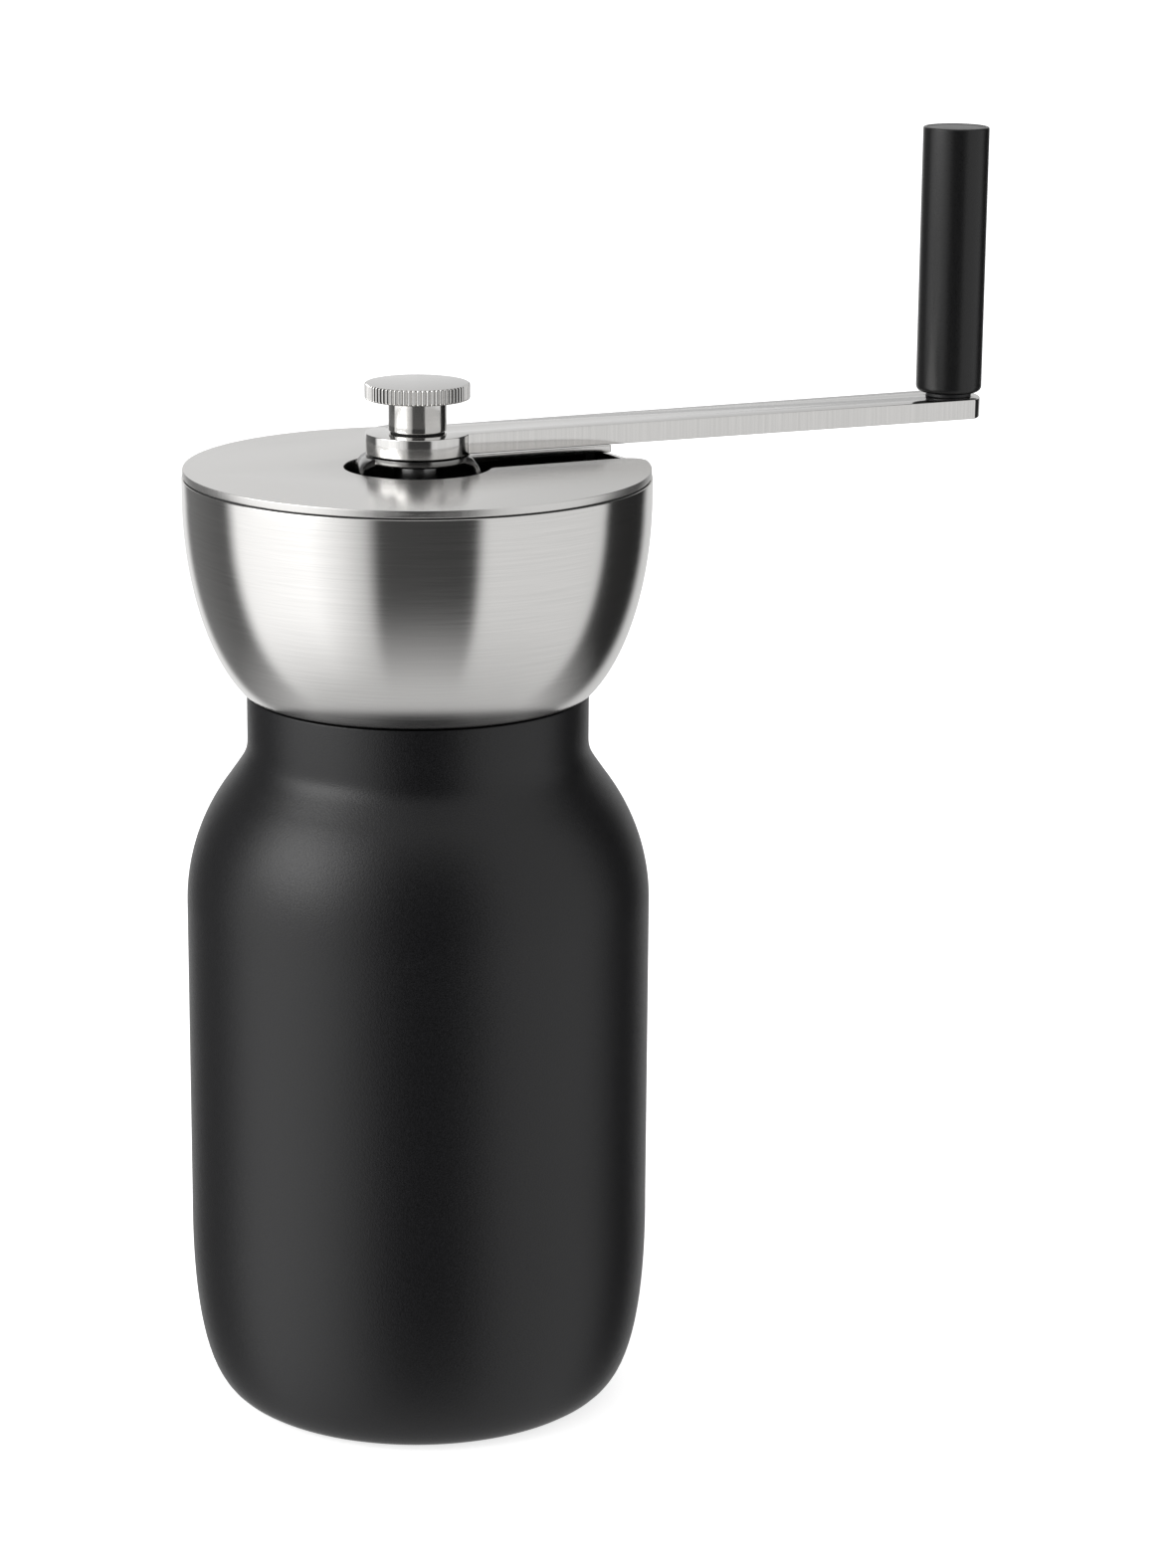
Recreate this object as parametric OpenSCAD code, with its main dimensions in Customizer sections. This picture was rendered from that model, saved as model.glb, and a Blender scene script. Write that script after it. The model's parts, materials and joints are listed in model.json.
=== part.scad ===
// Hand crank coffee grinder: a round jar, a steel hopper bowl with a slotted lid,
// a conical burr set on a vertical shaft, and a flat crank arm with a turning grip.
// The origin is on the axis at the base, +Z is up, and the crank arm points along +X.

/* [Jar] */
// Radius of the jar's round body
jar_r = 46.4; // [42:0.2:56]
// Height of the jar, from the base to the top of its neck
jar_h = 146.2; // [122:0.2:176]
// Wall of the jar
jar_wall = 1.8; // [1.2:0.1:2.2]
// Radius of the jar's neck
neck_r = 34; // [33:0.1:36]
// Height of the neck's straight part
neck_h = 13.9; // [12:0.1:18]
// Height of the round shoulder between neck and body
shoulder_h = 28.9; // [22:0.1:36]
// Depth of the shoulder's full curve, of which the neck cuts the top off
shoulder_curve_h = 42.9; // [38:0.1:60]
// Height over which the body pulls in towards the base
taper_h = 40.7; // [30:0.1:50]
// Radius of the flat base
base_r = 36.2; // [30:0.1:40]
// Radius of the foot pad
pad_r = 31; // [20:0.5:34]
// Thickness of the foot pad
pad_t = 1.6; // [1:0.1:3]
// How far the foot pad stands out of the base
pad_proud = 0.4; // [0.2:0.1:0.8]

/* [Head] */
// Radius of the hopper bowl at its rim
bowl_r = 46.2; // [42:0.2:56]
// Radius of the bowl where it meets the jar
bowl_foot_r = 34.5; // [33.5:0.1:36.5]
// Height of the bowl, from its foot to its rim
bowl_h = 42.9; // [36:0.1:52]
// Height of the bowl's upright upper band
bowl_band_h = 3.6; // [2:0.1:10]
// Wall of the bowl
bowl_wall = 1.4; // [1:0.1:2]
// Gap seen between the bowl and the jar
head_gap = 0.4; // [0.3:0.1:1]
// Wall of the thread ring in the neck
ring_wall = 1.6; // [1.2:0.1:2.5]
// Length of the head's collar that goes into the jar
collar_h = 15; // [12:0.5:20]
// Wall of the collar
collar_wall = 3.6; // [2.8:0.1:4.5]
// Height of the jar gasket
gasket_h = 2.6; // [1.5:0.1:4]

/* [Lid] */
// Thickness of the lid plate
lid_t = 1.5; // [1:0.1:2.5]
// How far the lid plate stays inside the bowl's rim
lid_inset = 0.2; // [0:0.1:1]
// Radius of the round hole in the lid
lid_hole_r = 14.5; // [13.6:0.05:18]
// Clearance of the slot on each side of the arm
slot_gap = 0.45; // [0.4:0.05:2]
// Radius of the slot's front corner at the rim
slot_rim_r = 3.5; // [1:0.1:5]
// Radius of the slot's back corner at the rim
slot_back_r = 0.6; // [0.4:0.1:5]
// Radius of the slot's corners at the hole
slot_hole_r = 1.6; // [0.5:0.1:2.5]
// Thickness of the seal between lid and rim
seal_t = 0.3; // [0.2:0.1:1]
// Depth of the seal ring inside the bowl
seal_h = 3.6; // [2:0.1:6]
// Wall of the seal ring
seal_wall = 2; // [1.2:0.1:3]

/* [Crank] */
// Distance from the shaft to the grip
crank_l = 118.9; // [100:0.1:143]
// Distance from the grip's axis to the arm's tip
tip_l = 6.2; // [4.5:0.1:9]
// Thickness of the arm
arm_t = 4; // [3:0.1:5]
// Half the arm's width at the hub
arm_hub_w = 6.1; // [5:0.1:6.2]
// Half the arm's width at its tip
arm_tip_w = 7.45; // [7:0.05:9]
// Radius of the arm's round tip
tip_r = 8.9; // [8.5:0.1:20]
// Radius of the hub
hub_r = 10.25; // [9.4:0.05:12.3]
// Height of the arm's underside over the lid
arm_lift = 2.8; // [2.4:0.1:5]
// Thickness of the washer under the knob
lock_washer_t = 0.3; // [0.2:0.1:0.8]

/* [Knob] */
// Radius of the knob's disc
knob_r = 10.3; // [8.6:0.1:12.3]
// Thickness of the knob's disc
knob_t = 3.1; // [2:0.1:5]
// Radius of the knob's neck
knob_neck_r = 5.63; // [5:0.01:6.8]
// Height of the knob's neck
knob_neck_h = 6.35; // [5:0.05:8]
// Number of ridges round the disc
knurls = 68; // [48:1:80]
// Depth of the ridges
knurl_d = 0.45; // [0.2:0.05:0.6]

/* [Grip] */
// Radius of the grip
grip_r = 6.77; // [6.4:0.01:8.2]
// Height of the grip
grip_h = 54.4; // [46:0.1:66]
// Wall of the grip
grip_wall = 2.1; // [1.6:0.1:2.3]
// Thickness of the washer under the grip
grip_washer_t = 0.8; // [0.5:0.1:1.5]
// Radius of the axle that the grip turns on
axle_r = 2.5; // [2:0.1:2.8]
// Length of each grip bush
grip_bush_h = 10; // [6:0.5:14]

/* [Bearings and shaft] */
// Radius of the shaft
shaft_r = 3; // [2.5:0.1:3.3]
// Clearance of turning and sliding fits
fit_gap = 0.05; // [0.02:0.01:0.1]
// Clearance between parts that pass each other
free_gap = 0.3; // [0.2:0.05:0.35]
// Radius of the bridge's round plate
plate_r = 10.2; // [9.4:0.1:11]
// Thickness of the bridge's sheet metal
bridge_t = 1.3; // [1:0.1:1.6]
// Distance between the bridge's legs, over the outside
bridge_w = 23.8; // [23:0.1:26]
// Width of each leg
leg_w = 10; // [7:0.1:11]
// Radius of the bend at the top of each leg
bend_r = 3.7; // [1.5:0.1:4]
// Angle of the bridge from the crank arm
bridge_turn = -15.5; // [-60:0.5:60]
// Radius of the bearing sleeve under the plate
sleeve_r = 5; // [4.8:0.1:5.8]
// Length of the bearing sleeve
sleeve_h = 16; // [10:0.5:22]
// Wall of the bushes
bush_wall = 1; // [0.8:0.1:1.2]

/* [Burrs] */
// Outer radius of the outer burr
burr_r = 20; // [19:0.1:21]
// Height of the burrs
burr_h = 14; // [12:0.1:16]
// Radius of the outer burr's bore at its lower edge
burr_low_r = 17.8; // [16.5:0.1:18]
// Radius of the outer burr's bore at its upper edge
burr_top_r = 13; // [12:0.1:14]
// Gap between the burrs at rest
grind_gap = 0.7; // [0.5:0.05:1.2]
// Number of teeth on each burr
teeth = 12; // [8:1:16]
// Wall of the burr housing
housing_wall = 3; // [2:0.1:3.4]
// Radius of the adjusting nut
nut_r = 12.5; // [10:0.1:14]
// Height of the adjusting nut
nut_h = 7; // [5:0.1:9]
// Turns of the pressure spring
spring_turns = 5; // [3:1:7]
// Thickness of the spring's wire
wire_d = 0.9; // [0.6:0.05:1.1]

/* [Hidden] */

$fn = 96;
black = [0.13, 0.13, 0.14];
steel = [0.78, 0.78, 0.77];
cut = 1; // how far a cutting shape runs past what it cuts
skin = 0.001; // how far shapes that end on one plane run into each other
end_gap = 0.1; // clearance at the ends of parts that turn, and round screws
flat_k = 0.78; // half the distance across the shaft's flats, as a share of its radius
bowl_k = 0.91; // how much of its curve's full depth the bowl's side takes
foot_k = 0.5; // how far the shoulder's curve ends outside the neck

// Heights, from the base up
neck_low_z = jar_h - neck_h;
shoulder_low_z = neck_low_z - shoulder_h;
bowl_z = jar_h + head_gap;
rim_z = bowl_z + bowl_h;
lid_z = rim_z + seal_t;
lid_top_z = lid_z + lid_t;
arm_z = lid_top_z + arm_lift;
arm_top_z = arm_z + arm_t;
knob_z = arm_top_z + lock_washer_t;
knob_disc_z = knob_z + knob_neck_h;
grip_z = arm_top_z + grip_washer_t + end_gap;
grip_top_z = grip_z + grip_h;
plate_top_z = arm_z - free_gap;
plate_z = plate_top_z - bridge_t;
sleeve_z = plate_z - sleeve_h;
floor_z = bowl_z + bowl_wall;
flange_t = 2; // housing's flange, on the bowl's floor
flange_z = floor_z + flange_t;
burr_drop = 4.6; // how far the burrs sit below the bowl
burr_top_z = bowl_z - burr_drop;
burr_z = burr_top_z - burr_h;
housing_lip = 2; // lip that holds the outer burr from below
housing_z = burr_z - housing_lip;
spider_t = 4;
spider_lift = 1.4; // room for the inner burr under the spider
spider_z = burr_top_z + spider_lift;
washer_t = 0.8;
washer_z = spider_z - washer_t - end_gap;
detent_t = 1;
detent_z = burr_z - detent_t;
nut_top_z = detent_z - fit_gap;
nut_z = nut_top_z - nut_h;
nut_travel = 4; // room for the adjusting nut over the circlip
circlip_t = 0.8;
circlip_z = nut_z - nut_travel;
shaft_end = 1.6;
shaft_z = circlip_z - shaft_end;
knob_top_t = 2; // solid metal over the shaft's end in the knob
shaft_top_z = knob_disc_z + knob_t - knob_top_t;
spring_seat_t = 5;
spring_z = burr_z + spring_seat_t;
cap_t = 1.2;
cap_plug_h = 2.4;
axle_head_h = 2.2;
axle_head_z = grip_top_z - cap_t - cap_plug_h - free_gap - axle_head_h;

// Screws of the head, turned clear of the bridge's feet
screw_r = 1.25;
screw_head_r = 1.9;
screw_head_h = 1.2;
screw_l = 6.5;
collar_turn = bridge_turn + 30;

// Radii that follow from the ones above
neck_bore_r = neck_r - jar_wall;
ring_bore_r = neck_bore_r - ring_wall;
collar_r = ring_bore_r - free_gap;
collar_bore_r = collar_r - collar_wall;
housing_r = burr_r + housing_wall;
bowl_hole_r = housing_r + end_gap;
screw_ring_r = (collar_r + max(collar_bore_r, bowl_hole_r)) / 2;
flange_r = screw_ring_r + screw_head_r + 2 * free_gap;
funnel_r = housing_r - 2 * free_gap;
bridge_foot_r = (funnel_r + flange_r) / 2;
bush_r = shaft_r + bush_wall;
spring_r = shaft_r + 4 * free_gap + wire_d / 2;
cap_rim = 0.8; // rim of the grip round its cap
cap_r = grip_r - cap_rim;
seal_r = bowl_r - bowl_wall - free_gap;
grip_bore_r = grip_r - grip_wall;
lid_r = bowl_r - lid_inset;
slot_half = arm_hub_w + (arm_tip_w - arm_hub_w) * lid_r / crank_l + slot_gap;

// Points along part of an ellipse, from angle a0 to angle a1
function ellipse_points(cx, cy, rx, ry, a0, a1, steps) =
    [for (i = [0 : steps]) let (a = a0 + (a1 - a0) * i / steps) [cx + rx * cos(a), cy + ry * sin(a)]];

// Points along a cubic curve with two end points and two control points
function curve_points(p, q, r, s, steps) =
    [for (i = [0 : steps]) let (t = i / steps, u = 1 - t)
        u * u * u * p + 3 * u * u * t * q + 3 * u * t * t * r + t * t * t * s];

module ring(outer_r, inner_r, z, h) {
    translate([0, 0, z])
        difference() {
            cylinder(r = outer_r, h = h);
            translate([0, 0, -cut]) cylinder(r = inner_r, h = h + 2 * cut);
        }
}

module disc(r, z, h) {
    translate([0, 0, z]) cylinder(r = r, h = h);
}

module around(count, turn = 0) {
    for (i = [0 : count - 1]) rotate([0, 0, turn + 360 * i / count]) children();
}

// Round section with two flats, which turns what sits on it
module flatted(r, z, h) {
    translate([0, 0, z])
        intersection() {
            cylinder(r = r, h = h);
            translate([-r * flat_k, -r - cut, -cut]) cube([2 * r * flat_k, 2 * (r + cut), h + 2 * cut]);
        }
}

// Outline of the jar from the base to the neck, drawn in by a wall
module jar_outline(wall, top_z, low_z) {
    belly = jar_r - wall;
    shoulder_r = jar_r - (jar_r - neck_r - foot_k) / (1 - sqrt(1 - pow(shoulder_h / shoulder_curve_h, 2)));
    rx = belly - shoulder_r;
    ry = shoulder_curve_h - wall;
    stop = asin(shoulder_h / ry);
    shoulder = ellipse_points(shoulder_r, shoulder_low_z, rx, ry, 0, stop, 14);
    full = 1; // how far the base's curve is drawn out, for a full, round corner
    ease = 3.5; // length over which the taper runs into the straight side
    taper = curve_points([base_r - wall / 2, low_z], [belly + full, low_z],
        [belly, taper_h - ease], [belly, taper_h], 14);
    neck_in = neck_r - wall;
    polygon(concat([[0, low_z]], taper, shoulder,
        [[neck_in, neck_low_z + foot_k], [neck_in, top_z], [0, top_z]]));
}

module jar_shell() {
    color(black)
        difference() {
            rotate_extrude() jar_outline(0, jar_h, pad_proud);
            rotate_extrude() jar_outline(jar_wall, jar_h + cut, jar_wall + pad_t);
            translate([0, 0, pad_proud - cut]) cylinder(r = pad_r, h = pad_t - pad_proud + cut);
        }
}

module jar_foot_pad() {
    color([0.1, 0.1, 0.1]) disc(pad_r, 0, pad_t);
}

// Thread insert, held in the neck by a band at its lower end
module jar_thread_ring() {
    insert_h = neck_h * 0.75;
    insert_z = jar_h - gasket_h - free_gap - insert_h;
    color([0.2, 0.2, 0.2]) {
        ring(neck_bore_r - fit_gap, ring_bore_r, insert_z, insert_h);
        ring(neck_bore_r, ring_bore_r, insert_z, insert_h / 5);
    }
}

module jar_gasket() {
    color([0.3, 0.3, 0.3])
        ring(neck_bore_r - free_gap, collar_r + free_gap, jar_h - gasket_h, gasket_h);
}

// Outline of the bowl from its foot to its rim, drawn in by a wall
module bowl_outline(wall, low_z, top_z) {
    curve_h = bowl_h - bowl_band_h;
    ry = curve_h / bowl_k;
    rx = (bowl_r - bowl_foot_r) / (1 - sqrt(1 - bowl_k * bowl_k));
    stop = asin((rim_z - bowl_band_h - low_z) / (ry - wall));
    side = ellipse_points(bowl_r - rx, rim_z - bowl_band_h, rx - wall, ry - wall, -stop, 0, 16);
    polygon(concat([[0, low_z]], side, [[bowl_r - wall, top_z], [0, top_z]]));
}

module hopper_bowl() {
    color(steel)
        difference() {
            rotate_extrude() bowl_outline(0, bowl_z, rim_z);
            rotate_extrude() bowl_outline(bowl_wall, floor_z, rim_z + cut);
            translate([0, 0, bowl_z - cut]) cylinder(r = bowl_hole_r, h = bowl_wall + 2 * cut);
            around(3, collar_turn)
                translate([screw_ring_r, 0, bowl_z - cut])
                    cylinder(r = screw_r + end_gap, h = bowl_wall + 2 * cut);
        }
}

module bowl_collar() {
    color(black)
        difference() {
            ring(collar_r, max(collar_bore_r, bowl_hole_r), bowl_z - collar_h, collar_h);
            around(3, collar_turn)
                translate([screw_ring_r, 0, bowl_z - screw_l]) cylinder(r = screw_r, h = screw_l + cut);
        }
}

module collar_screws() {
    color(steel)
        around(3, collar_turn)
            translate([screw_ring_r, 0, 0]) {
                disc(screw_r, bowl_z - screw_l, flange_z - bowl_z + screw_l);
                disc(screw_head_r, flange_z, screw_head_h);
            }
}

module burr_housing() {
    seat = 1; // width of the lip under the outer burr
    color(black)
        difference() {
            union() {
                disc(housing_r, housing_z, flange_z - housing_z);
                disc(flange_r, floor_z, flange_t);
            }
            translate([0, 0, housing_z - cut])
                cylinder(r = burr_r - seat, h = flange_z - housing_z + 2 * cut);
            disc(burr_r, burr_z, burr_h);
            translate([0, 0, burr_top_z])
                cylinder(r1 = burr_r, r2 = funnel_r, h = flange_z - burr_top_z + skin);
            around(3, collar_turn)
                translate([screw_ring_r, 0, floor_z - cut])
                    cylinder(r = screw_r + end_gap, h = flange_t + 2 * cut);
            around(2, bridge_turn)
                translate([bridge_foot_r, 0, floor_z - cut])
                    cylinder(r = screw_r, h = flange_t + 2 * cut);
        }
}

// Grooves between the teeth, along a cone, as deep as reach and leaning round it
module burr_teeth_cuts(r_low, r_top, reach, lean) {
    slope = atan((r_low - r_top) / burr_h);
    groove_w = 2;
    depth = 1.2;
    over = 3; // how far a groove runs past the burr's ends
    around(teeth)
        translate([r_low, 0, burr_z])
            rotate([lean, -slope, 0])
                translate([-reach, -groove_w / 2, -over]) cube([reach + depth, groove_w, burr_h + 2 * over]);
}

module outer_burr() {
    color([0.55, 0.55, 0.56])
        difference() {
            disc(burr_r, burr_z, burr_h);
            translate([0, 0, burr_z - skin])
                cylinder(r1 = burr_low_r, r2 = burr_top_r, h = burr_h + 2 * skin);
            burr_teeth_cuts(burr_low_r, burr_top_r, 3, -15);
        }
}

module bearing_spider() {
    hub_wall = 2.5;
    rim_wall = 2.1;
    spoke_w = 4;
    rim_r = burr_r - end_gap;
    color([0.6, 0.6, 0.6])
        difference() {
            union() {
                disc(bush_r + hub_wall, spider_z, spider_t);
                ring(rim_r, rim_r - rim_wall, burr_top_z, spider_z + spider_t - burr_top_z);
                around(3)
                    translate([0, -spoke_w / 2, spider_z]) cube([rim_r - rim_wall / 2, spoke_w, spider_t]);
            }
            translate([0, 0, spider_z - cut]) cylinder(r = bush_r, h = spider_t + 2 * cut);
        }
}

module lower_bush() {
    color([0.72, 0.56, 0.3]) ring(bush_r, shaft_r + fit_gap, spider_z, spider_t);
}

// Side view of the stamped bridge, right half, from the plate down to its foot
function bridge_points() =
    let (
        w = bridge_w / 2,
        t = bridge_t,
        knee_k = 0.45,
        knee_z = flange_z + knee_k * (plate_top_z - flange_z),
        foot_top_z = flange_z + t,
        foot_in = funnel_r + t,
        foot_out = flange_r - free_gap,
        lean = atan((foot_in - w) / (knee_z - foot_top_z))
    )
    concat(
        [[0, plate_top_z]],
        ellipse_points(w - bend_r, plate_top_z - bend_r, bend_r, bend_r, 90, 0, 8),
        [[w, knee_z], [foot_in, foot_top_z], [foot_out, foot_top_z], [foot_out, flange_z],
            [foot_in - t * cos(lean) / (1 + sin(lean)), flange_z], [w - t, knee_z - t * tan(lean / 2)]],
        ellipse_points(w - bend_r, plate_top_z - bend_r, bend_r - t, bend_r - t, 0, 90, 8),
        [[0, plate_z]]);

module bearing_bridge() {
    color(steel)
        rotate([0, 0, bridge_turn])
            difference() {
                union() {
                    around(2)
                        translate([0, leg_w / 2, 0])
                            rotate([90, 0, 0])
                                linear_extrude(leg_w) polygon(bridge_points());
                    disc(plate_r, plate_z, bridge_t);
                }
                translate([0, 0, plate_z - cut]) cylinder(r = bush_r, h = bridge_t + 2 * cut);
                around(2)
                    translate([bridge_foot_r, 0, flange_z - cut])
                        cylinder(r = screw_r + end_gap, h = bridge_t + 2 * cut);
            }
}

module bridge_screws() {
    color(steel)
        around(2, bridge_turn)
            translate([bridge_foot_r, 0, 0]) {
                disc(screw_r, floor_z, flange_t + bridge_t);
                disc(screw_head_r, flange_z + bridge_t, screw_head_h);
            }
}

module bearing_sleeve() {
    color(steel) ring(sleeve_r, bush_r, sleeve_z, sleeve_h);
}

module upper_bush() {
    color([0.72, 0.56, 0.3]) ring(bush_r, shaft_r + fit_gap, sleeve_z, plate_top_z - sleeve_z);
}

module shaft() {
    color(steel) {
        flatted(shaft_r, shaft_z, washer_z - shaft_z);
        disc(shaft_r, washer_z, arm_z - washer_z);
        flatted(shaft_r, arm_z, arm_t);
        disc(shaft_r, arm_top_z, shaft_top_z - arm_top_z);
    }
}

// Arm outline: it widens from the hub to a tip that is an arc
module arm_outline() {
    end = crank_l + tip_l;
    half = arm_hub_w + (arm_tip_w - arm_hub_w) * end / crank_l;
    round_r = max(tip_r, half);
    intersection() {
        polygon([[0, arm_hub_w], [0, -arm_hub_w], [end + cut, -half], [end + cut, half]]);
        union() {
            translate([0, -half]) square([end - round_r, 2 * half]);
            translate([end - round_r, 0]) circle(r = round_r);
        }
    }
}

module crank_arm() {
    color(steel)
        difference() {
            union() {
                translate([0, 0, arm_z]) linear_extrude(arm_t) arm_outline();
                disc(hub_r, arm_z, arm_t);
            }
            flatted(shaft_r, arm_z - cut, arm_t + 2 * cut);
            translate([crank_l, 0, arm_z - cut]) cylinder(r = axle_r, h = arm_t + 2 * cut);
        }
}

module thrust_washer() {
    color(steel) ring(spring_r + wire_d, shaft_r, washer_z, washer_t);
}

// Coil spring: a round wire swept along a helix
module coil(r, z_low, z_high, d, turns) {
    sides = 8;
    steps = turns * 16;
    rise = (z_high - z_low - d) / steps;
    points = [for (i = [0 : steps], k = [0 : sides - 1])
        let (a = 360 * turns * i / steps, b = 360 * k / sides, reach = r + d / 2 * cos(b))
        [reach * cos(a), reach * sin(a), z_low + d / 2 + rise * i + d / 2 * sin(b)]];
    sweep = [for (i = [0 : steps - 1], k = [0 : sides - 1])
        let (a = i * sides, next = (k + 1) % sides)
        [a + k, a + sides + k, a + sides + next, a + next]];
    start = [for (k = [0 : sides - 1]) k];
    end = [for (k = [sides - 1 : -1 : 0]) steps * sides + k];
    polyhedron(points, concat(sweep, [start, end]), convexity = 10);
}

module pressure_spring() {
    color([0.7, 0.7, 0.7]) coil(spring_r, spring_z + fit_gap, washer_z - fit_gap, wire_d, spring_turns);
}

module shaft_circlip() {
    color([0.3, 0.3, 0.3]) ring(1.5 * shaft_r, shaft_r, circlip_z, circlip_t);
}

module inner_burr() {
    low = burr_low_r - grind_gap;
    top = burr_top_r - grind_gap;
    color([0.5, 0.5, 0.51])
        difference() {
            translate([0, 0, burr_z]) cylinder(r1 = low, r2 = top, h = burr_h);
            disc(burr_r, burr_top_z - 2 * free_gap, burr_h);
            disc(spring_r + wire_d + free_gap, spring_z, burr_h);
            flatted(shaft_r + fit_gap, burr_z - cut, burr_h + 2 * cut);
            burr_teeth_cuts(low, top, 1.2, 15);
        }
}

module detent_washer() {
    color([0.25, 0.25, 0.25])
        difference() {
            disc(burr_low_r / 2, detent_z, detent_t);
            flatted(shaft_r + fit_gap, detent_z - cut, detent_t + 2 * cut);
        }
}

module adjusting_nut() {
    lobes = 8;
    scoop_r = 2.2;
    color(black)
        difference() {
            disc(nut_r, nut_z, nut_h);
            translate([0, 0, nut_z - cut]) cylinder(r = shaft_r + fit_gap, h = nut_h + 2 * cut);
            around(lobes)
                translate([nut_r + scoop_r / 2, 0, nut_z - cut]) cylinder(r = scoop_r, h = nut_h + 2 * cut);
        }
}

module lock_washer() {
    color(black) ring(knob_neck_r - free_gap, shaft_r + fit_gap, arm_top_z, lock_washer_t);
}

module clamping_knob() {
    color(steel)
        difference() {
            union() {
                disc(knob_neck_r, knob_z, knob_neck_h);
                translate([0, 0, knob_disc_z])
                    linear_extrude(knob_t)
                        polygon([for (i = [0 : 2 * knurls - 1])
                            let (a = 180 * i / knurls, r = knob_r - (i % 2) * knurl_d)
                            [r * cos(a), r * sin(a)]]);
            }
            translate([0, 0, knob_z - cut])
                cylinder(r = shaft_r + fit_gap, h = shaft_top_z + free_gap - knob_z + cut);
        }
}

module at_grip() {
    translate([crank_l, 0, 0]) children();
}

module grip_axle() {
    color(steel)
        at_grip() {
            disc(axle_r, arm_z, axle_head_z - arm_z);
            disc(grip_bore_r - free_gap, axle_head_z, axle_head_h);
        }
}

module grip_washer() {
    color(black) at_grip() ring(grip_bore_r, axle_r, arm_top_z, grip_washer_t);
}

module grip_sleeve() {
    edge = 1.2;
    lip = 0.35;
    color(black)
        at_grip()
            rotate_extrude()
                polygon([[grip_bore_r, grip_z], [grip_r - edge, grip_z], [grip_r, grip_z + edge],
                    [grip_r, grip_top_z - lip], [grip_r - lip, grip_top_z], [cap_r, grip_top_z],
                    [cap_r, grip_top_z - cap_t], [grip_bore_r, grip_top_z - cap_t]]);
}

module grip_lower_bush() {
    color([0.3, 0.3, 0.3])
        at_grip() ring(grip_bore_r, axle_r + fit_gap, grip_z + 2 * end_gap, grip_bush_h);
}

module grip_upper_bush() {
    color([0.3, 0.3, 0.3])
        at_grip() ring(grip_bore_r, axle_r + fit_gap, axle_head_z - free_gap - grip_bush_h, grip_bush_h);
}

module grip_cap() {
    color([0.2, 0.2, 0.21])
        at_grip() {
            disc(cap_r, grip_top_z - cap_t, cap_t - end_gap);
            disc(grip_bore_r, grip_top_z - cap_t - cap_plug_h, cap_plug_h);
        }
}

// What is cut from a plate of radius r for the slot: the slot and its rounded corners
module slot_cut(half, hole, rim, hole_corner, front_corner, back_corner) {
    hole_x = sqrt(pow(hole + hole_corner, 2) - pow(half + hole_corner, 2));
    hole_k = hole / (hole + hole_corner);
    sink = 0.5; // how far the corner cuts run into the slot
    circle(r = hole);
    translate([0, -half]) square([rim + 5 * cut, 2 * half]);
    for (side = [-1, 1]) {
        rim_corner = side < 0 ? front_corner : back_corner;
        rim_x = sqrt(pow(rim - rim_corner, 2) - pow(half + rim_corner, 2));
        rim_k = rim / (rim - rim_corner);
        difference() {
            polygon([[hole_x * hole_k, side * (half + hole_corner) * hole_k],
                [hole_x, side * (half + hole_corner)], [hole_x, side * (half - sink)],
                [hole_x * hole_k, side * (half - sink)]]);
            translate([hole_x, side * (half + hole_corner)]) circle(r = hole_corner);
        }
        difference() {
            polygon([[rim_x, side * (half - sink)], [rim_x, side * (half + rim_corner)],
                [(rim_x + end_gap) * rim_k, side * (half + rim_corner) * rim_k],
                [rim + 5 * cut, side * (half - sink)]]);
            translate([rim_x, side * (half + rim_corner)]) circle(r = rim_corner);
        }
    }
}

module lid_plate() {
    color(steel)
        translate([0, 0, lid_z])
            linear_extrude(lid_t)
                difference() {
                    circle(r = lid_r);
                    slot_cut(slot_half, lid_hole_r, lid_r, slot_hole_r, slot_rim_r, slot_back_r);
                }
}

module lid_seal() {
    color([0.08, 0.08, 0.08])
        difference() {
            union() {
                ring(lid_r - 2 * end_gap, seal_r - seal_wall, rim_z, seal_t);
                ring(seal_r, seal_r - seal_wall, rim_z - seal_h, seal_h + skin);
            }
            translate([0, -slot_half - slot_rim_r, rim_z - seal_h - cut])
                cube([lid_r + cut, 2 * (slot_half + slot_rim_r), seal_h + seal_t + 2 * cut]);
        }
}

jar_shell();
jar_foot_pad();
jar_thread_ring();
jar_gasket();
hopper_bowl();
bowl_collar();
collar_screws();
burr_housing();
outer_burr();
bearing_spider();
lower_bush();
bearing_bridge();
bridge_screws();
bearing_sleeve();
upper_bush();
shaft();
crank_arm();
thrust_washer();
pressure_spring();
shaft_circlip();
inner_burr();
detent_washer();
adjusting_nut();
lock_washer();
clamping_knob();
grip_axle();
grip_washer();
grip_sleeve();
grip_lower_bush();
grip_upper_bush();
grip_cap();
lid_plate();
lid_seal();
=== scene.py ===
"""Hand crank coffee grinder: shells, lid, crank, knob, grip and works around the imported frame.

Every piece is in metres in the frame's own axes: the origin is on the jar's axis at its base,
+Z is up and the crank arm points along +X. Sizes in the property groups are in metres too.
"""

import json
import math

import bmesh
import bpy
from mathutils import Matrix, Vector


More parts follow.
